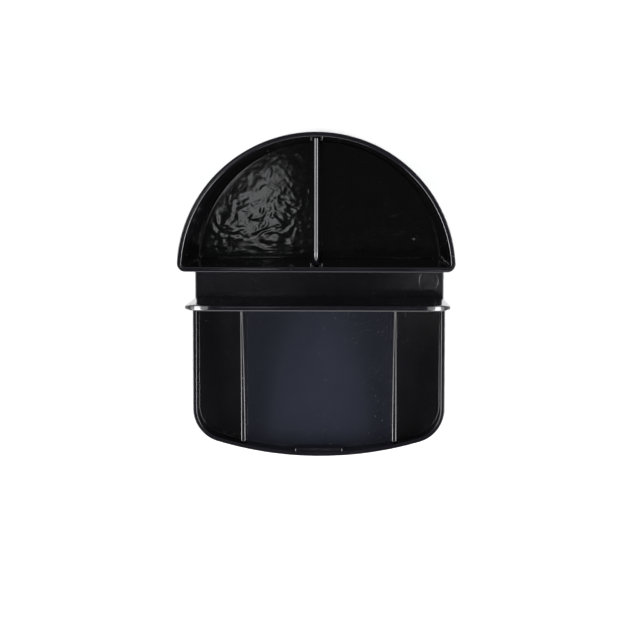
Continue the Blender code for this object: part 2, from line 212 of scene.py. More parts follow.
# Hairlines: tilt and turn of each family in radians, and how little it changes along its length
SCRATCH_FAMILIES = ((0.3, 0.35, 0.03), (1.2, 1.35, 0.02), (2.1, 2.45, 0.04))
SCRATCH_LEAN = 0.4
SCRATCH_WIDTH = 0.004                   # noise values this near the middle count as a line
SCRATCH_PATCHES = (0.52, 0.64)
DUST_CHOSEN = (0.955, 0.96)             # chances between which a cell starts to hold a speck
DUST_SPECK = (0.26, 0.08)               # distances over which a speck fades in
DUST_LEVEL = (0.6, 0.95)                # upward part of the normal that dust starts and finishes on
DUST_DRIFTS = (0.42, 0.62)
SMUDGE_PATCHES = (0.40, 0.72)
EDGE_POINTINESS = (0.53, 0.62)
EDGE_PATCHES = (0.35, 0.65)

# ---- Stage, in metres and degrees ----------------------------------------------------------------

STAGE_SIZE = 8.0
STAGE_SIDES = 8
SKY_COLOUR = (0.96, 0.98, 1.0, 1.0)
SKY_TOP = 0.95                          # sine of the elevation where the dark ceiling starts
SKY_EDGE = 0.35                         # and where the pale surroundings are fully bright
ZENITH_LIGHT = 0.10
HORIZON_LIGHT = 1.1
WHITE = (1.0, 1.0, 1.0)
COOL_WHITE = (0.95, 0.97, 1.0)
CENTRE_AIM = (0.0, 0.0, 0.0)
TRAY_AIM = (0.0, -0.05, 0.0)
# Lights: name, place, aim, width and height, brightness. Those of a pair stand on both sides.
PAIRED_LIGHTS = (
    ("softbox", (1.30, 0.10, 1.30), CENTRE_AIM, (0.9, 1.6), 4.0),
    ("strip", (1.27, -0.05, 1.27), TRAY_AIM, (1.4, 0.5), 18.0),
    ("front_strip", (1.16, -0.66, 1.02), TRAY_AIM, (0.9, 1.0), 15.0),
)
FRONT_LIGHT = ("front_softbox", (0.0, -1.70, 1.05), CENTRE_AIM, (1.4, 0.8), 5.0)
CARD_HEIGHT = 1.60
CARD_DARK = (0.62, 0.66, 0.70)
CARD_LIGHT = (0.88, 0.94, 1.00)
# Cards: name, corners seen from above, brightness
CARDS = (
    ("card_over_cup", ((-0.0800, 0.0732), (-0.1028, 0.0600), (-0.1500, -0.0100), (-0.1560, -0.0240),
                       (-0.0780, -0.0330)), 0.45),
    ("card_over_slot_right", ((0.1700, -0.0850), (0.1000, -0.0850), (0.1100, -0.1150),
                              (0.1700, -0.1150)), 0.40),
)
CAMERA_PLACE = (0.0187, 0.0741, 1.1273)
CAMERA_TURN = (-4.5, 0.94, 0.08)
CAMERA_LENS = 114.75
SENSOR_WIDTH = 36.0
VIEW_DEPTH = 30.0

# Angles on a round corner of a cross-section
TURN_OUT = math.pi
TURN_UP = math.pi / 2
TURN_IN = 0.0
TURN_DOWN = 1.5 * math.pi


def width_scale(height):
    """Outside width at a height, as a share of the width at the floor."""
    return 1.0 + (height - FLOOR_TOP) * DRAFT / HALF_WIDTH


TRAY_FRONT = PANEL_FRONT + (BASE_LOW.y - PANEL_FRONT) / width_scale(TRAY_TOP)
BOW_CENTRE = TRAY_FRONT + TRAY_BOW


# ---- Outlines ------------------------------------------------------------------------------------

def arc(centre_x, centre_y, radius, start, end, steps=ROUND_STEPS):
    """Points on a round stretch, both ends included."""
    points = []
    for step in range(steps + 1):
        angle = start + (end - start) * step / steps
        points.append((centre_x + radius * math.cos(angle), centre_y + radius * math.sin(angle)))
    return points


def between(start, end, steps):
    """Evenly spaced points strictly between two others."""
    points = []
    for step in range(1, steps):
        share = step / steps
        points.append((start[0] + (end[0] - start[0]) * share, start[1] + (end[1] - start[1]) * share))
    return points


def moved_in(points, distance):
    """The same closed anticlockwise outline with every side moved inward."""
    moved = []
    for index, point in enumerate(points):
        here = Vector(point)
        into = (here - Vector(points[index - 1])).normalized()
        out = (Vector(points[(index + 1) % len(points)]) - here).normalized()
        inward = Vector((-into.y - out.y, into.x + out.x)).normalized()
        slant = inward.dot(Vector((-into.y, into.x)))
        spot = here + inward * distance / slant
        moved.append((spot.x, spot.y))
    return moved


def rounded_outline(corners, inset=0.0, steps=CORNER_STEPS):
    """Closed anticlockwise outline from (x, y, radius) corners, pulled in by an even distance.

    It has the same number of points at every inset; a radius of zero gives a single point.
    """
    spots = moved_in([(x, y) for x, y, _ in corners], inset)
    arcs = []
    for index, (x, y) in enumerate(spots):
        if corners[index][2] == 0.0:
            arcs.append([(x, y)])
            continue
        radius = max(corners[index][2] - inset, LEAST_CORNER)
        here = Vector((x, y))
        into = (here - Vector(spots[index - 1])).normalized()
        out = (Vector(spots[(index + 1) % len(spots)]) - here).normalized()
        turn = math.atan2(into.x * out.y - into.y * out.x, into.dot(out))
        centre = here - into * radius * math.tan(turn / 2) + Vector((-into.y, into.x)) * radius
        start = math.atan2(-into.x, into.y)
        arcs.append(arc(centre.x, centre.y, radius, start, start + turn, steps))
    points = []
    for index, corner in enumerate(arcs):
        following = (index + 1) % len(arcs)
        length = (Vector(corners[following][:2]) - Vector(corners[index][:2])).length
        points += corner + between(corner[-1], arcs[following][0], max(1, math.ceil(length / POINT_GAP)))
    return points


# ---- Mesh building -------------------------------------------------------------------------------

def soften(piece):
    piece.data.shade_smooth()
    piece.data.set_sharp_from_angle(angle=SHARP_ANGLE)


def new_object(name, data):
    made = bpy.data.objects.new(name, data)
    bpy.context.scene.collection.objects.link(made)
    return made


def new_mesh(name, shape):
    mesh = bpy.data.meshes.new(name)
    shape.to_mesh(mesh)
    shape.free()
    return mesh


def mesh_object(name, shape):
    """A piece from a closed shape, welded, facing outward and shaded smooth."""
    bmesh.ops.remove_doubles(shape, verts=shape.verts, dist=WELD)
    bmesh.ops.recalc_face_normals(shape, faces=shape.faces)
    if shape.calc_volume(signed=True) < 0.0:
        bmesh.ops.reverse_faces(shape, faces=shape.faces)
    piece = new_object(name, new_mesh(name, shape))
    soften(piece)
    return piece


def loft(name, rings, joined_ends=False):
    """A closed skin through rings of equal length; its ends are capped, or joined to each other."""
    shape = bmesh.new()
    rows = []
    for ring in rings:
        rows.append([shape.verts.new(point) for point in ring])
    count = len(rows[0])
    pairs = list(zip(rows, rows[1:]))
    if joined_ends:
        pairs.append((rows[-1], rows[0]))
    for near, far in pairs:
        for index in range(count):
            following = (index + 1) % count
            shape.faces.new((near[index], near[following], far[following], far[index]))
    if not joined_ends:
        shape.faces.new(rows[0])
        shape.faces.new(rows[-1])
    return mesh_object(name, shape)


def boolean(target, other, operation):
    """Join the other shape to the target, or cut it away, and keep only the result."""
    modifier = target.modifiers.new(operation, "BOOLEAN")
    modifier.operation = operation
    modifier.solver = "EXACT"
    modifier.object = other
    bpy.context.view_layer.update()
    evaluated = target.evaluated_get(bpy.context.evaluated_depsgraph_get())
    result = bpy.data.meshes.new_from_object(evaluated)
    target.modifiers.clear()
    former = target.data
    target.data = result
    bpy.data.meshes.remove(former)
    bpy.data.objects.remove(other, do_unlink=True)
    soften(target)


def gathered(pieces):
    """Several separate shapes as one object, ready for a single boolean."""
    shape = bmesh.new()
    for piece in pieces:
        shape.from_mesh(piece.data)
        bpy.data.objects.remove(piece, do_unlink=True)
    return mesh_object("gathered", shape)


def rounded_box(low, high, edge=SMALL_ROUND):
    """A box between two corners, with its edges rounded unless edge is zero."""
    shape = bmesh.new()
    bmesh.ops.create_cube(shape, size=1.0)
    for vert in shape.verts:
        for axis in range(3):
            vert.co[axis] = (low[axis] + high[axis]) / 2 + vert.co[axis] * (high[axis] - low[axis])
    if edge:
        bmesh.ops.bevel(shape, geom=shape.edges[:], offset=edge, segments=BEVEL_STEPS, profile=0.5,
                        affect="EDGES")
    return mesh_object("rounded_box", shape)


def turned(name, spot, profile):
    """A round piece from (radius, height) pairs, capped at both ends."""
    rings = []
    for radius, height in profile:
        circle = arc(*spot, radius, 0.0, 2 * math.pi, ROUND_SIDES)[:-1]
        rings.append([(x, y, height) for x, y in circle])
    return loft(name, rings)


def ring_cutter(spot, radius, height, thickness):
    """A thin hoop that leaves a round groove in a flat face."""
    rings = []
    for side in range(GROOVE_SIDES):
        turn = 2 * math.pi * side / GROOVE_SIDES
        ring = []
        for reach, rise in arc(radius, height, thickness, 0.0, 2 * math.pi, GROOVE_STEPS)[:-1]:
            ring.append((spot[0] + reach * math.cos(turn), spot[1] + reach * math.sin(turn), rise))
        rings.append(ring)
    return loft("ring_cutter", rings, joined_ends=True)


def rim_arcs(wall, top, edge):
    """Roundings on the outside and inside of a wall's top, as (inset, height) pairs."""
    outer = arc(edge, top - edge, edge, TURN_OUT, TURN_UP)
    inner = arc(wall - edge, top - edge, edge, TURN_UP, TURN_IN)
    return outer, inner


def plate(name, corners, edge, half_thickness, to_world):
    """A flat piece with its edges rounded; to_world takes two outline values and a depth."""
    rounded = [(inset, drop) for inset, drop in arc(edge, edge, edge, TURN_DOWN, TURN_OUT)]
    face = [(edge + SUPPORT, 0.0)]
    sections = [(inset, drop, 1.0) for inset, drop in face + rounded]
    sections += [(inset, drop, -1.0) for inset, drop in rounded[::-1] + face]
    rings = []
    for inset, drop, side in sections:
        ring = []
        for u, v in rounded_outline(corners, inset):
            ring.append(to_world(u, v, side * (half_thickness(v) - drop)))
        rings.append(ring)
    return loft(name, rings)


# ---- Base tray -----------------------------------------------------------------------------------

def sweep(centre_x, centre_y, radius, start, end, steps, walled):
    """Stations on a round stretch: centre, outward direction, radius, and whether a wall stands there."""
    stations = []
    for step in range(steps + 1):
        angle = start + (end - start) * step / steps
        stations.append((centre_x, centre_y, math.cos(angle), math.sin(angle), radius, walled))
    return stations


def straight_side(direction, start, end, walled):
    """Stations on a side of the base, which stands at the half width."""
    stations = []
    steps = max(1, math.ceil(abs(end - start) / POINT_GAP))
    for step in range(steps + 1):
        y = start + (end - start) * step / steps
        stations.append((direction * HALF_WIDTH, y, direction, 0.0, 0.0, walled))
    return stations


def base_stations():
    """Once round the base, anticlockwise from the right end of the cup's front."""
    corner_x = HALF_WIDTH - TRAY_CORNER
    reach = TRAY_BOW - TRAY_CORNER
    corner_y = BOW_CENTRE - math.sqrt(reach ** 2 - corner_x ** 2)
    lean = math.asin(corner_x / reach)
    bow_start = TURN_DOWN - lean
    bow_end = TURN_DOWN + lean
    behind = CUP_FRONT - POINT_GAP
    ahead = corner_y + POINT_GAP / 2
    stations = sweep(0.0, CUP_FRONT, HALF_WIDTH, 0.0, math.pi, BASE_BACK_STEPS, False)
    stations += straight_side(-1.0, behind, WALL_END, False)
    stations += straight_side(-1.0, WALL_END, ahead, True)
    stations += sweep(-corner_x, corner_y, TRAY_CORNER, math.pi, bow_start, TRAY_CORNER_STEPS, True)
    stations += sweep(0.0, BOW_CENTRE, TRAY_BOW, bow_start + BOW_TRIM, bow_end - BOW_TRIM, BOW_STEPS, True)
    stations += sweep(corner_x, corner_y, TRAY_CORNER, bow_end, 2 * math.pi, TRAY_CORNER_STEPS, True)
    stations += straight_side(1.0, ahead, WALL_END, True)
    stations += straight_side(1.0, WALL_END, behind, False)
    return stations


def base_profiles():
    """(inset, height) pairs from the underside, round the outside and down to the floor.

    The first list is for stations where the tray wall stands, the second for the others.
    """
    skirt = SKIRT_ROUND
    shared = [(SKIRT_WALL + SUPPORT, PLATE_BOTTOM), (SKIRT_WALL, PLATE_BOTTOM)]
    shared += arc(SKIRT_WALL - skirt, SKIRT_BOTTOM + skirt, skirt, 2 * math.pi, TURN_DOWN)
    shared += arc(skirt, SKIRT_BOTTOM + skirt, skirt, TURN_DOWN, TURN_OUT)
    low = (0.0, FLOOR_TOP - PLATE_EDGE_ROUND)
    shared += between(shared[-1], low, PLATE_EDGE_LEVELS) + [low]

    outer_rim, inner_rim = rim_arcs(TRAY_WALL, TRAY_TOP, TRAY_RIM_ROUND)
    fillet = arc(TRAY_WALL + TRAY_FILLET, FLOOR_TOP + TRAY_FILLET, TRAY_FILLET, TURN_OUT, TURN_DOWN)
    last = (TRAY_WALL + TRAY_FILLET + SUPPORT, FLOOR_TOP)
    walled = between(low, outer_rim[0], TRAY_WALL_LEVELS) + outer_rim + inner_rim
    walled += between(inner_rim[-1], fillet[0], TRAY_WALL_LEVELS) + fillet + [last]

    edge = PLATE_EDGE_ROUND
    plain = arc(edge, FLOOR_TOP - edge, edge, TURN_OUT, TURN_UP)[1:]
    plain += between(plain[-1], fillet[-1], len(walled) - len(plain) - 1) + [fillet[-1], last]
    return shared + walled, shared + plain


def tapered(x, y, height, still_y):
    """A point of the floor outline carried up the leaning outside; still_y doesn't move."""
    scale = width_scale(height)
    return (x * scale, still_y + (y - still_y) * scale, height)


def peg_spots():
    """Where the cup's three pegs enter the floor plate."""
    side_y = CUP_FRONT + PEG_INSET
    back_y = CUP_FRONT + HALF_WIDTH - PEG_INSET
    return [(-PEG_SIDE, side_y), (PEG_SIDE, side_y), (0.0, back_y)]


def foot_size(foot):
    """Centre, radius and top of a foot."""
    low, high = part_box(foot)
    return ((low.x + high.x) / 2, (low.y + high.y) / 2), (high.x - low.x) / 2, high.z


def base_additions():
    """Front pad, underside ribs and the sockets' bosses."""
    wall_inside = TRAY_FRONT + TRAY_WALL
    pad = rounded_box((-FRONT_PAD_WIDTH / 2, wall_inside - TRAY_WALL / 2, FLOOR_TOP - OVERLAP),
                      (FRONT_PAD_WIDTH / 2, wall_inside + FRONT_PAD_DEPTH, TRAY_TOP - FRONT_PAD_DROP),
                      FRONT_PAD_ROUND)
    bottom = SKIRT_BOTTOM + CLEARANCE
    top = PLATE_BOTTOM + OVERLAP
    reach = HALF_WIDTH - SKIRT_WALL / 2
    under_slot = (CUP_FRONT + PANEL_HIGH.y) / 2
    under_tray = (PANEL_FRONT + BASE_LOW.y) / 2
    half = RIB_WIDTH / 2
    ribs = rounded_box((-reach, under_slot - half, bottom), (reach, under_slot + half, top))
    spine = rounded_box((-half, under_tray, bottom), (half, under_slot, top))
    boolean(ribs, spine, "UNION")
    front_rib = rounded_box((-reach, under_tray - half, bottom), (reach, under_tray + half, top))
    boolean(ribs, front_rib, "UNION")
    additions = [pad, ribs]
    for foot in FEET:
        spot, radius, _ = foot_size(foot)
        outside = radius + CLEARANCE + FOOT_SOCKET_WALL
        profile = arc(outside - SKIRT_ROUND, SKIRT_BOTTOM + SKIRT_ROUND, SKIRT_ROUND, TURN_DOWN,
                      2 * math.pi)
        additions.append(turned("boss", spot, profile + [(outside, top)]))
    return additions


def base_cutters():
    """Foot sockets, peg holes, tab slots and the ejector mark."""
    cutters = []
    for foot in FEET:
        spot, radius, _ = foot_size(foot)
        wide = radius + CLEARANCE
        cutters.append(turned("socket", spot, [(wide, SKIRT_BOTTOM - CUT_MARGIN), (wide, PLATE_BOTTOM)]))
    below = SKIRT_BOTTOM - CUT_MARGIN
    above = FLOOR_TOP + CUT_MARGIN
    for spot in peg_spots():
        wide = PEG_RADIUS + CLEARANCE
        cutters.append(turned("peg_hole", spot, [(wide, below), (wide, above)]))
    half_length = PANEL_TAB_LENGTH / 2 + SNUG
    half_width = PANEL_THICKNESS / 2 + SNUG
    for x in (-PANEL_TAB_SIDE, PANEL_TAB_SIDE):
        cutters.append(rounded_box((x - half_length, PANEL_MIDDLE - half_width, below),
                                   (x + half_length, PANEL_MIDDLE + half_width, above), 0.0))
    half_length = DIVIDER_TAB_LENGTH / 2 + SNUG
    for divider in TRAY_DIVIDERS:
        low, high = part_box(divider)
        for y in divider_tab_middles(low, high):
            cutters.append(rounded_box((low.x - SNUG, y - half_length, below),
                                       (high.x + SNUG, y + half_length, above), 0.0))
    cutters.append(ring_cutter(EJECTOR_SPOT, EJECTOR_RADIUS, FLOOR_TOP, EJECTOR_GROOVE))
    return cutters


def build_base_tray():
    walled, plain = base_profiles()
    stations = base_stations()
    rings = []
    for level in range(len(walled)):
        ring = []
        for centre_x, centre_y, out_x, out_y, radius, has_wall in stations:
            inset, height = (walled if has_wall else plain)[level]
            reach = radius - inset
            ring.append(tapered(centre_x + out_x * reach, centre_y + out_y * reach, height, PANEL_FRONT))
        rings.append(ring)
    base = loft("base_tray_moulding", rings)
    for addition in base_additions():
        boolean(base, addition, "UNION")
    boolean(base, gathered(base_cutters()), "DIFFERENCE")
    return base


# ---- Pencil cup ----------------------------------------------------------------------------------

def cup_ring(inset, height):
    """One D-shaped loop of the cup, with the same number of points at every inset."""
    scale = width_scale(height)
    radius = HALF_WIDTH - inset
    corner = min(max(CUP_CORNER - inset, CUP_CORNER_INSIDE), radius / 3)
    front = CUP_FRONT + inset
    corner_y = front + corner
    reach = radius - corner
    corner_x = math.sqrt(max(reach ** 2 - (corner_y - CUP_FRONT) ** 2, 0.0))
    tilt = math.atan2(corner_y - CUP_FRONT, corner_x)
    points = arc(0.0, CUP_FRONT, radius, tilt, math.pi - tilt, CUP_BACK_STEPS)
    left = arc(-corner_x, corner_y, corner, math.pi - tilt, TURN_DOWN, CUP_CORNER_STEPS)
    right = arc(corner_x, corner_y, corner, -TURN_UP, tilt, CUP_CORNER_STEPS)
    points += left[1:] + between(left[-1], right[0], CUP_FRONT_STEPS) + right[:-1]
    ring = []
    for x, y in points:
        ring.append((x * scale, CUP_FRONT + (y - CUP_FRONT) * scale, height))
    return ring


def floor_ripple(x, y):
    """Slow sink waves that moulding leaves in the cup's floor, flat again beside the walls."""
    spot = Vector((x, y, 0.0)) / RIPPLE_LENGTH
    warp_spot = spot * RIPPLE_WARP_SCALE
    warp = Vector((noise.noise(warp_spot), noise.noise(warp_spot + RIPPLE_WARP_SHIFT), 0.0))
    wave = noise.noise(spot + warp * RIPPLE_WARP)
    crease = noise.noise(spot * RIPPLE_FOLD_SCALE + warp * RIPPLE_WARP + RIPPLE_FOLD_SHIFT)
    fold = 1.0 - 2.0 * abs(crease)
    from_wall = HALF_WIDTH - CUP_WALL - CUP_FILLET - math.hypot(x, y - CUP_FRONT)
    from_front = y - CUP_FRONT - CUP_WALL - CUP_FILLET
    fade = min(from_wall / RIPPLE_FADE, from_front / RIPPLE_FADE, 1.0)
    back = min(max((y - CUP_FRONT - RIPPLE_FADE) / RIPPLE_REACH, 0.0), 1.0)
    strength = RIPPLE_HEIGHT * (1.0 - (1.0 - RIPPLE_CALM) * back ** 2)
    return strength * (wave + RIPPLE_FOLD * fold) * max(fade, 0.0)


def shrunk_ring(ring, share, lift):
    """A ring pulled in towards the middle of the cup's floor."""
    middle = (0.0, CUP_FRONT + HALF_WIDTH * CUP_FLOOR_MIDDLE)
    shrunk = []
    for x, y, height in ring:
        spot = (middle[0] + (x - middle[0]) * (1.0 - share), middle[1] + (y - middle[1]) * (1.0 - share))
        shrunk.append((*spot, height + lift(*spot)))
    return shrunk


def cup_guides():
    """Ribs either side of the divider's two ends."""
    near = (CUP_DIVIDER_HIGH.x - CUP_DIVIDER_LOW.x) / 2 + CLEARANCE
    far = near + GUIDE_WIDTH
    inside = CUP_FRONT + HALF_WIDTH - CUP_WALL
    ends = ((CUP_FRONT + CUP_WALL / 2, CUP_FRONT + CUP_WALL + GUIDE_DEPTH),
            (inside - GUIDE_DEPTH, inside + CUP_WALL / 2))
    guides = []
    for low_y, high_y in ends:
        for low_x, high_x in ((-far, -near), (near, far)):
            guide = rounded_box((low_x, low_y, CUP_INSIDE - OVERLAP),
                                (high_x, high_y, CUP_TOP - GUIDE_DROP))
            for vert in guide.data.vertices:
                vert.co = tapered(*vert.co, CUP_FRONT)
            guides.append(guide)
    return guides


def build_pencil_cup():
    foot = CUP_FOOT_ROUND
    bottom = arc(foot, PIECE_BOTTOM + foot, foot, TURN_DOWN, TURN_OUT)
    outer_rim, inner_rim = rim_arcs(CUP_WALL, CUP_TOP, CUP_RIM_ROUND)
    fillet = arc(CUP_WALL + CUP_FILLET, CUP_INSIDE + CUP_FILLET, CUP_FILLET, TURN_OUT, TURN_DOWN,
                 CORNER_STEPS)
    profile = [(foot + SUPPORT, PIECE_BOTTOM)] + bottom + between(bottom[-1], outer_rim[0], CUP_LEVELS)
    profile += outer_rim + inner_rim + between(inner_rim[-1], fillet[0], CUP_LEVELS) + fillet
    rings = [cup_ring(inset, height) for inset, height in profile]
    floor = rings[-1]
    for step in range(1, CUP_FLOOR_RINGS + 1):
        rings.append(shrunk_ring(floor, step / (CUP_FLOOR_RINGS + 1), floor_ripple))
    cup = loft("pencil_cup_moulding", rings)
    additions = cup_guides()
    for spot in peg_spots():
        tip = arc(PEG_RADIUS - SMALL_ROUND, TAB_BOTTOM + SMALL_ROUND, SMALL_ROUND, TURN_DOWN,
                  2 * math.pi)
        additions.append(turned("peg", spot, tip + [(PEG_RADIUS, PIECE_BOTTOM + OVERLAP)]))
    boolean(cup, gathered(additions), "UNION")
    return cup


def build_cup_divider():
    """A plate across the cup; the lower corners clear the cup's fillet, the front top corner turns down."""
    front = CUP_FRONT + CUP_WALL + CLEARANCE
    back = CUP_FRONT + HALF_WIDTH - CUP_WALL - CLEARANCE
    bottom = CUP_DIVIDER_LOW.z
    top = CUP_DIVIDER_HIGH.z
    clear = CUP_FILLET + CLEARANCE
    corners = [(front, bottom, clear), (back, bottom, clear), (back, top, DIVIDER_CORNER),
               (front, top, CUP_DIVIDER_TURN)]

    def to_world(depth, height, side):
        return (side, CUP_FRONT + (depth - CUP_FRONT) * width_scale(height), height)

    half = (CUP_DIVIDER_HIGH.x - CUP_DIVIDER_LOW.x) / 2
    return plate("cup_divider_plate", corners, CUP_DIVIDER_ROUND, lambda height: half, to_world)


# ---- Letter panel and tray dividers --------------------------------------------------------------

def panel_slice(across, top, slimming):
    """Upright section of the panel at one place across it, as a closed loop of points."""

    def half_thickness(height):
        rise = (height - FLOOR_TOP) / (PANEL_TOP - FLOOR_TOP)
        return slimming * (PANEL_THICKNESS + (PANEL_TOP_THICKNESS - PANEL_THICKNESS) * rise) / 2

    half_top = half_thickness(top)
    crown = min(PANEL_ROUND, half_top * PANEL_ROUND_LIMIT)
    foot = SMALL_ROUND
    half_foot = half_thickness(PIECE_BOTTOM)
    side = arc(half_foot - foot, PIECE_BOTTOM + foot, foot, -TURN_UP, TURN_IN)
    for step in range(1, PANEL_LEVELS):
        height = PIECE_BOTTOM + foot + (top - crown - PIECE_BOTTOM - foot) * step / PANEL_LEVELS
        side.append((half_thickness(height), height))
    side += arc(half_top - crown, top - crown, crown, TURN_IN, TURN_UP, CORNER_STEPS)
    loop = side + [(-depth, height) for depth, height in reversed(side)]
    return [(across * width_scale(height), PANEL_MIDDLE + depth, height) for depth, height in loop]


def build_letter_panel():
    """Tall plate, thinner towards its top; its top falls and its faces draw together at the ends."""
    flat_end = HALF_WIDTH - PANEL_CORNER_WIDE
    half = []
    for step in range(1, PANEL_FLAT_STEPS + 1):
        half.append((flat_end * step / PANEL_FLAT_STEPS, PANEL_TOP, 1.0))
    for step in range(1, PANEL_CORNER_STEPS + 1):
        turn = math.pi / 2 * step / PANEL_CORNER_STEPS
        across = flat_end + PANEL_CORNER_WIDE * math.sin(turn)
        top = PANEL_TOP - PANEL_CORNER_DEEP * (1 - math.cos(turn))
        share = max((across - HALF_WIDTH + PANEL_NOSE) / PANEL_NOSE, 0.0)
        half.append((across, top, 1.0 - (1.0 - PANEL_TIP) * share ** PANEL_NOSE_POWER))
    left = [(-across, top, slimming) for across, top, slimming in reversed(half)]
    places = left + [(0.0, PANEL_TOP, 1.0)] + half
    panel = loft("letter_panel_plate", [panel_slice(*place) for place in places])
    depth = PANEL_THICKNESS / 2
    reach = PANEL_TAB_LENGTH / 2
    tabs = []
    for x in (-PANEL_TAB_SIDE, PANEL_TAB_SIDE):
        tabs.append(rounded_box((x - reach, PANEL_MIDDLE - depth, TAB_BOTTOM),
                                (x + reach, PANEL_MIDDLE + depth, PIECE_BOTTOM + OVERLAP)))
    boolean(panel, gathered(tabs), "UNION")
    return panel


def divider_tab_middles(low, high):
    """Where a tray divider's two tabs stand along its length."""
    return (high.y - DIVIDER_TAB_INSET, low.y + DIVIDER_TAB_INSET)


def build_tray_divider(divider):
    """A thin wall whose top slopes down from the panel in a shallow curve."""
    low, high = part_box(divider)
    side_x = (low.x + high.x) / 2
    half = (high.x - low.x) / 2
    corners = [(low.y, PIECE_BOTTOM, TRAY_FILLET + CLEARANCE), (high.y, PIECE_BOTTOM, DIVIDER_CORNER),
               (high.y, DIVIDER_BACK_TOP, DIVIDER_CORNER)]
    for step in range(1, DIVIDER_SLOPE_STEPS):
        share = step / DIVIDER_SLOPE_STEPS
        height = DIVIDER_BACK_TOP + (DIVIDER_FRONT_TOP - DIVIDER_BACK_TOP) * share
        height -= DIVIDER_SAG * 4 * share * (1 - share)
        corners.append((high.y + (low.y - high.y) * share, height, 0.0))
    corners.append((low.y, DIVIDER_FRONT_TOP, DIVIDER_CORNER))

    def half_thickness(height):
        return half - (height - FLOOR_TOP) * DIVIDER_DRAFT

    def to_world(depth, height, side):
        return (side_x + side, depth, height)

    wall = plate(divider + "_wall", corners, TRAY_DIVIDER_ROUND, half_thickness, to_world)
    tabs = []
    reach = DIVIDER_TAB_LENGTH / 2
    for y in divider_tab_middles(low, high):
        tabs.append(rounded_box((side_x - half, y - reach, TAB_BOTTOM),
                                (side_x + half, y + reach, PIECE_BOTTOM + TRAY_DIVIDER_ROUND + OVERLAP)))
    boolean(wall, gathered(tabs), "UNION")
    return wall


def build_foot(foot):
    """A soft disc with a rounded edge and two shallow rings pressed into its face."""
    spot, radius, top = foot_size(foot)
    edge = FOOT_ROUND
    profile = []
    for reach, drop in FOOT_FACE:
        profile.append((reach * radius, drop))
    profile += arc(radius - edge, edge, edge, TURN_DOWN, 2 * math.pi)
    profile += arc(radius - edge / 2, top - edge / 2, edge / 2, 0.0, TURN_UP)
    return turned(foot + "_disc", spot, profile)


# ---- Node groups shared by the finishes ----------------------------------------------------------

class Graph:
    """Short calls for laying out nodes in one node tree."""

    def __init__(self, tree):
        self.tree = tree

    def node(self, kind, settings=None, **inputs):
        made = self.tree.nodes.new(kind)
        for name, value in (settings or {}).items():
            setattr(made, name, value)
        for name, value in inputs.items():
            self.feed(made, name.replace("_", " "), value)
        return made

    def feed(self, made, name, value):
        socket = made.inputs[int(name)] if name.isdigit() else made.inputs[name]
        if isinstance(value, bpy.types.NodeSocket):
            self.tree.links.new(value, socket)
        else:
            socket.default_value = value

    def maths(self, operation, first, second=0.0, clamp=False):
        made = self.node("ShaderNodeMath", {"operation": operation, "use_clamp": clamp})
        self.feed(made, "0", first)
        self.feed(made, "1", second)
        return made.outputs[0]

    def remap(self, value, low, high, to_low=0.0, to_high=1.0):
        made = self.node("ShaderNodeMapRange", Value=value, From_Min=low, From_Max=high, To_Min=to_low,
                         To_Max=to_high)
        return made.outputs["Result"]

    def turned(self, vector, rotation):
        return self.node("ShaderNodeMapping", Vector=vector, Rotation=rotation).outputs[0]

    def noise(self, vector, scale, detail=2.0, roughness=0.5, distortion=0.0):
        made = self.node("ShaderNodeTexNoise", Vector=vector, Scale=scale, Detail=detail,
                         Roughness=roughness, Distortion=distortion)
        return made.outputs["Fac"]

    def mix(self, kind, share, first, second, sockets):
        """Mix two values; sockets are the numbers of their two inputs and of the output."""
        made = self.node("ShaderNodeMix", {"data_type": kind})
        self.feed(made, "0", share)
        self.feed(made, sockets[0], first)
        self.feed(made, sockets[1], second)
        return made.outputs[int(sockets[2])]

    def values(self, share, first, second):
        return self.mix("FLOAT", share, first, second, ("2", "3", "0"))

    def colours(self, share, first, second):
        """Mix two colours, each a socket or its red, green and blue."""
        pair = []
        for colour in (first, second):
            pair.append(colour if isinstance(colour, bpy.types.NodeSocket) else (*colour, 1.0))
        return self.mix("RGBA", share, *pair, ("6", "7", "2"))

    def mottled(self, place, scale, dark, light):
        """Two tones that give way to each other in soft patches."""
        return self.colours(self.remap(self.noise(place, scale, detail=3.0), *MOTTLE), dark, light)


def new_group(name, inputs, outputs):
    tree = bpy.data.node_groups.new(name, "ShaderNodeTree")
    for socket, value in inputs.items():
        made = tree.interface.new_socket(socket, in_out="INPUT", socket_type="NodeSocketFloat")
        made.default_value = value
    for socket in outputs:
        tree.interface.new_socket(socket, in_out="OUTPUT", socket_type="NodeSocketFloat")
    graph = Graph(tree)
    entry = graph.node("NodeGroupInput")
    leave = graph.node("NodeGroupOutput")
    return tree, graph, entry.outputs, leave


def scratch_group():
    """Hairline scratches in several directions, broken up so that none runs far."""
    tree, graph, given, leave = new_group("hairline_scratches", {"Spacing": 400.0, "Amount": 0.5}, ["Mask"])
    place = graph.node("ShaderNodeTexCoord").outputs["Object"]
    total = None
    for tilt, turn, stretch in SCRATCH_FAMILIES:
        facing = graph.turned(place, (tilt, SCRATCH_LEAN, turn))
        drawn = graph.node("ShaderNodeMapping", Vector=facing, Scale=(1.0, stretch, 1.0)).outputs[0]
        line = graph.noise(drawn, given["Spacing"], detail=1.0, roughness=0.4, distortion=0.15)
        away = graph.maths("ABSOLUTE", graph.maths("SUBTRACT", line, 0.5))
        thin = graph.remap(away, SCRATCH_WIDTH, 0.0)
        patch = graph.remap(graph.noise(facing, 60.0, detail=1.0), *SCRATCH_PATCHES)
        mark = graph.maths("MULTIPLY", thin, patch)
        total = mark if total is None else graph.maths("MAXIMUM", total, mark)
    graph.feed(leave, "Mask", graph.maths("MULTIPLY", total, given["Amount"], clamp=True))
    return tree


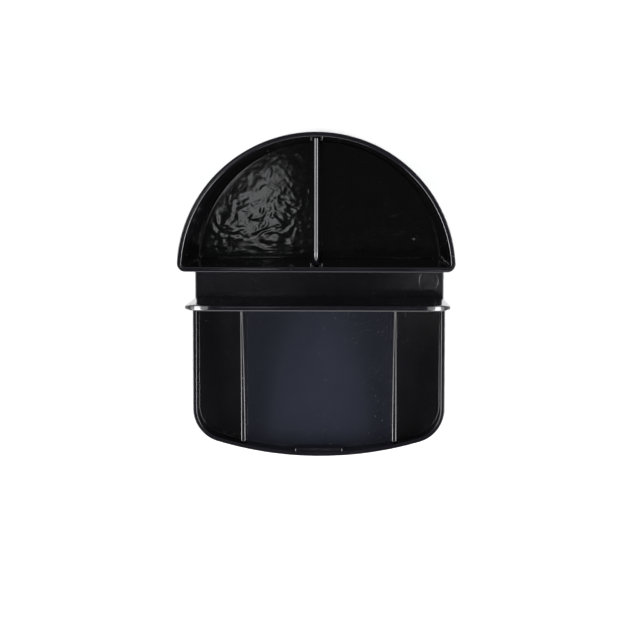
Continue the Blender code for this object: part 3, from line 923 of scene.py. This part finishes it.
def skin_group():
    """Moulded skin: slow unevenness, orange peel and fine grain, as a height."""
    defaults = {"Peel": 0.5, "Grain": 0.2, "Sink": 0.5}
    tree, graph, given, leave = new_group("moulded_skin", defaults, ["Height"])
    place = graph.node("ShaderNodeTexCoord").outputs["Object"]
    waves = graph.noise(place, 55.0, detail=1.0, roughness=0.4, distortion=0.4)
    slow = graph.maths("MULTIPLY", waves, given["Sink"])
    peel = graph.maths("MULTIPLY", graph.noise(place, 420.0, detail=2.0, roughness=0.5), given["Peel"])
    grain = graph.maths("MULTIPLY", graph.noise(place, 5200.0, detail=2.0, roughness=0.6), given["Grain"])
    graph.feed(leave, "Height", graph.maths("ADD", slow, graph.maths("ADD", peel, grain)))
    return tree


def dust_group():
    """Sparse specks that settle on faces that look upward."""
    tree, graph, given, leave = new_group("settled_dust", {"Size": 900.0, "Amount": 0.5}, ["Mask"])
    place = graph.node("ShaderNodeTexCoord").outputs["Object"]
    cells = graph.node("ShaderNodeTexVoronoi", Vector=place, Scale=given["Size"])
    chance = graph.node("ShaderNodeSeparateColor", Color=cells.outputs["Color"]).outputs[0]
    chosen = graph.remap(chance, *DUST_CHOSEN)
    speck = graph.remap(cells.outputs["Distance"], *DUST_SPECK)
    normal = graph.node("ShaderNodeNewGeometry").outputs["Normal"]
    up = graph.node("ShaderNodeSeparateXYZ", Vector=normal).outputs[2]
    level = graph.remap(up, *DUST_LEVEL)
    drift = graph.remap(graph.noise(place, 35.0, detail=2.0), *DUST_DRIFTS)
    specks = graph.maths("MULTIPLY", chosen, speck)
    mask = graph.maths("MULTIPLY", specks, graph.maths("MULTIPLY", level, drift))
    graph.feed(leave, "Mask", graph.maths("MULTIPLY", mask, given["Amount"], clamp=True))
    return tree


def smudge_group():
    """Broad patches where handling has dulled the polish, and slightly duller edges."""
    defaults = {"Scale": 45.0, "Edges": 0.5}
    tree, graph, given, leave = new_group("handling_smudges", defaults, ["Dull", "Edge"])
    place = graph.node("ShaderNodeTexCoord").outputs["Object"]
    patches = graph.noise(place, given["Scale"], detail=4.0, roughness=0.6, distortion=0.8)
    broad = graph.remap(patches, *SMUDGE_PATCHES)
    edge = graph.remap(graph.node("ShaderNodeNewGeometry").outputs["Pointiness"], *EDGE_POINTINESS)
    broken = graph.remap(graph.noise(place, 260.0, detail=3.0), *EDGE_PATCHES)
    worn = graph.maths("MULTIPLY", edge, broken)
    graph.feed(leave, "Dull", broad)
    graph.feed(leave, "Edge", graph.maths("MULTIPLY", worn, given["Edges"], clamp=True))
    return tree


SCRATCHES = scratch_group()
SKIN = skin_group()
DUST = dust_group()
SMUDGES = smudge_group()


# ---- Materials -----------------------------------------------------------------------------------

def new_material(name):
    material = bpy.data.materials.new(name)
    material.use_nodes = True
    graph = Graph(material.node_tree)
    return material, graph, material.node_tree.nodes["Principled BSDF"]


def place_group(graph, tree, **values):
    made = graph.node("ShaderNodeGroup", {"node_tree": tree})
    for name, value in values.items():
        graph.feed(made, name, value)
    return made.outputs


def satin_mask(graph, place, satin):
    """1 on the level floor between two upright planes, 0 elsewhere."""
    half_width, front, back, top = satin
    parts = graph.node("ShaderNodeSeparateXYZ", Vector=place).outputs
    across = graph.remap(graph.maths("ABSOLUTE", parts[0]), half_width + SATIN_FEATHER, half_width)
    before = graph.remap(parts[1], back + SATIN_FEATHER, back)
    behind = graph.remap(parts[1], front - SATIN_FEATHER, front)
    under = graph.remap(parts[2], top + SATIN_FEATHER, top)
    level = graph.maths("MULTIPLY", across, under)
    return graph.maths("MULTIPLY", level, graph.maths("MULTIPLY", before, behind))


def black_plastic(name, polish, satin=None):
    """Black moulded plastic; satin gives the half width, ends and top of a duller level panel."""
    material, graph, shader = new_material(name)
    skin = place_group(graph, SKIN, **PLASTIC_SKIN)
    scratch = place_group(graph, SCRATCHES, Spacing=420.0, Amount=1.0)["Mask"]
    dust = place_group(graph, DUST, Size=800.0, Amount=1.0)["Mask"]
    smudge = place_group(graph, SMUDGES, Scale=42.0, Edges=1.0)
    place = graph.node("ShaderNodeTexCoord").outputs["Object"]

    shade = graph.mottled(place, 70.0, DEEP_BLACK, WORN_BLACK)
    roughness = graph.remap(smudge["Dull"], 0.0, 1.0, polish, polish * SMUDGE_GAIN)
    if satin:
        mask = satin_mask(graph, place, satin)
        shade = graph.colours(mask, shade, graph.mottled(place, 90.0, SATIN_DARK, SATIN_LIGHT))
        patches = graph.noise(place, 60.0, detail=3.0)
        rough_satin = graph.remap(patches, *MOTTLE, SATIN_ROUGHNESS, SATIN_ROUGHNESS * SATIN_ROUGHEST)
        roughness = graph.values(mask, roughness, rough_satin)
    shade = graph.colours(graph.maths("MULTIPLY", dust, DUST_SHADE), shade, DUST_COLOUR)
    roughness = graph.maths("ADD", roughness, graph.maths("MULTIPLY", scratch, SCRATCH_DULLING))
    roughness = graph.maths("ADD", roughness, graph.maths("MULTIPLY", smudge["Edge"], EDGE_DULLING))
    roughness = graph.maths("ADD", roughness, graph.maths("MULTIPLY", dust, DUST_DULLING), clamp=True)
    height = graph.maths("SUBTRACT", skin["Height"], graph.maths("MULTIPLY", scratch, SCRATCH_DEPTH))
    bump = graph.node("ShaderNodeBump", Strength=1.0, Distance=PLASTIC_RELIEF, Height=height)
    graph.feed(shader, "Base Color", shade)
    graph.feed(shader, "Roughness", roughness)
    graph.feed(shader, "Normal", bump.outputs[0])
    graph.feed(shader, "Metallic", 0.0)
    graph.feed(shader, "IOR", PLASTIC_IOR)
    return material


def foot_rubber(name):
    """Dull rubber with a coarse grain, greyer where it has rubbed or caught dust."""
    material, graph, shader = new_material(name)
    skin = place_group(graph, SKIN, **RUBBER_SKIN)
    dust = place_group(graph, DUST, Size=1400.0, Amount=0.8)["Mask"]
    smudge = place_group(graph, SMUDGES, Scale=120.0, Edges=0.6)
    shade = graph.colours(smudge["Dull"], RUBBER_DARK, RUBBER_LIGHT)
    shade = graph.colours(graph.maths("MAXIMUM", dust, smudge["Edge"]), shade, RUBBER_WORN)
    bump = graph.node("ShaderNodeBump", Strength=1.0, Distance=RUBBER_RELIEF, Height=skin["Height"])
    graph.feed(shader, "Base Color", shade)
    graph.feed(shader, "Roughness", graph.remap(smudge["Dull"], 0.0, 1.0, *RUBBER_ROUGHNESS))
    graph.feed(shader, "Normal", bump.outputs[0])
    return material


def floor_paper(name):
    material, graph, shader = new_material(name)
    place = graph.node("ShaderNodeTexCoord").outputs["Object"]
    shade = graph.colours(graph.noise(place, 3.0, detail=3.0), PAPER_DARK, PAPER_LIGHT)
    fibres = graph.noise(place, 900.0, detail=3.0)
    bump = graph.node("ShaderNodeBump", Strength=0.2, Distance=PAPER_RELIEF, Height=fibres)
    graph.feed(shader, "Base Color", shade)
    graph.feed(shader, "Normal", bump.outputs[0])
    graph.feed(shader, "Roughness", PAPER_ROUGHNESS)
    graph.feed(shader, "Specular IOR Level", PAPER_SHEEN)
    return material


# ---- Pieces in place -----------------------------------------------------------------------------

def put(piece, node, material):
    piece.data.materials.clear()
    piece.data.materials.append(material)
    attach(piece, "root")
    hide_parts(node)


RIGHT_DIVIDER_LOW, RIGHT_DIVIDER_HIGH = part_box(TRAY_DIVIDERS[1])
SATIN_SIDE = (RIGHT_DIVIDER_LOW.x + RIGHT_DIVIDER_HIGH.x) / 2
SATIN_PANEL = (SATIN_SIDE, BASE_LOW.y, PANEL_FRONT, FLOOR_TOP + SATIN_FEATHER)

tray_plastic = black_plastic("tray_plastic", TRAY_POLISH, SATIN_PANEL)
cup_plastic = black_plastic("cup_plastic", CUP_POLISH)
wall_plastic = black_plastic("wall_plastic", WALL_POLISH)
soft_rubber = foot_rubber("soft_rubber")

put(build_base_tray(), "base_tray", tray_plastic)
put(build_pencil_cup(), "pencil_cup", cup_plastic)
put(build_cup_divider(), "cup_divider", wall_plastic)
put(build_letter_panel(), "letter_panel", wall_plastic)
for divider in TRAY_DIVIDERS:
    put(build_tray_divider(divider), divider, wall_plastic)
for foot in FEET:
    put(build_foot(foot), foot, soft_rubber)


# ---- Floor, light and camera ---------------------------------------------------------------------

def build_floor():
    shape = bmesh.new()
    bmesh.ops.create_grid(shape, x_segments=STAGE_SIDES, y_segments=STAGE_SIDES, size=STAGE_SIZE / 2)
    floor = mesh_object("studio_floor", shape)
    floor.data.materials.append(floor_paper("studio_paper"))


def build_world():
    """Pale surroundings that darken overhead, so that level faces stay black."""
    world = bpy.data.worlds.new("studio_world")
    world.use_nodes = True
    bpy.context.scene.world = world
    graph = Graph(world.node_tree)
    background = world.node_tree.nodes["Background"]
    direction = graph.node("ShaderNodeTexCoord").outputs["Generated"]
    up = graph.node("ShaderNodeSeparateXYZ", Vector=direction).outputs[2]
    level = graph.remap(up, SKY_TOP, SKY_EDGE)
    graph.feed(background, "Strength", graph.remap(level, 0.0, 1.0, ZENITH_LIGHT, HORIZON_LIGHT))
    graph.feed(background, "Color", SKY_COLOUR)


def area_light(name, place, target, size, brightness, colour):
    """A softbox; its brightness is what a mirror would show of it."""
    light = bpy.data.lights.new(name, "AREA")
    light.shape = "RECTANGLE"
    light.size, light.size_y = size
    light.energy = brightness * math.pi * size[0] * size[1]
    light.color = colour
    lamp = new_object(name, light)
    lamp.location = place
    lamp.rotation_euler = (Vector(target) - Vector(place)).to_track_quat("-Z", "Y").to_euler()
    lamp.visible_camera = False


def build_card(name, corners, strength):
    """A small lit card high above the piece, mirrored in one of its level floors."""
    shape = bmesh.new()
    shape.faces.new([shape.verts.new((x, y, CARD_HEIGHT)) for x, y in corners])
    material, graph, shader = new_material(name + "_glow")
    place = graph.node("ShaderNodeTexCoord").outputs["Object"]
    shade = graph.colours(graph.noise(place, 9.0, detail=2.0), CARD_DARK, CARD_LIGHT)
    graph.feed(shader, "Emission Color", shade)
    graph.feed(shader, "Emission Strength", strength)
    card = new_object(name, new_mesh(name, shape))
    card.data.materials.append(material)
    card.visible_camera = False
    card.visible_shadow = False


def build_camera():
    camera = bpy.data.cameras.new("product_camera")
    camera.lens = CAMERA_LENS
    camera.sensor_width = SENSOR_WIDTH
    camera.clip_end = VIEW_DEPTH
    holder = new_object("product_camera", camera)
    holder.location = CAMERA_PLACE
    holder.rotation_euler = [math.radians(angle) for angle in CAMERA_TURN]
    bpy.context.scene.camera = holder


build_floor()
build_world()
for side, hand in ((-1.0, "left"), (1.0, "right")):
    for kind, (x, y, z), aim, size, brightness in PAIRED_LIGHTS:
        area_light(hand + "_" + kind, (side * x, y, z), aim, size, brightness, WHITE)
area_light(*FRONT_LIGHT, COOL_WHITE)
for name, corners, strength in CARDS:
    build_card(name, corners, strength)
build_camera()
bpy.context.scene.view_settings.view_transform = "Standard"
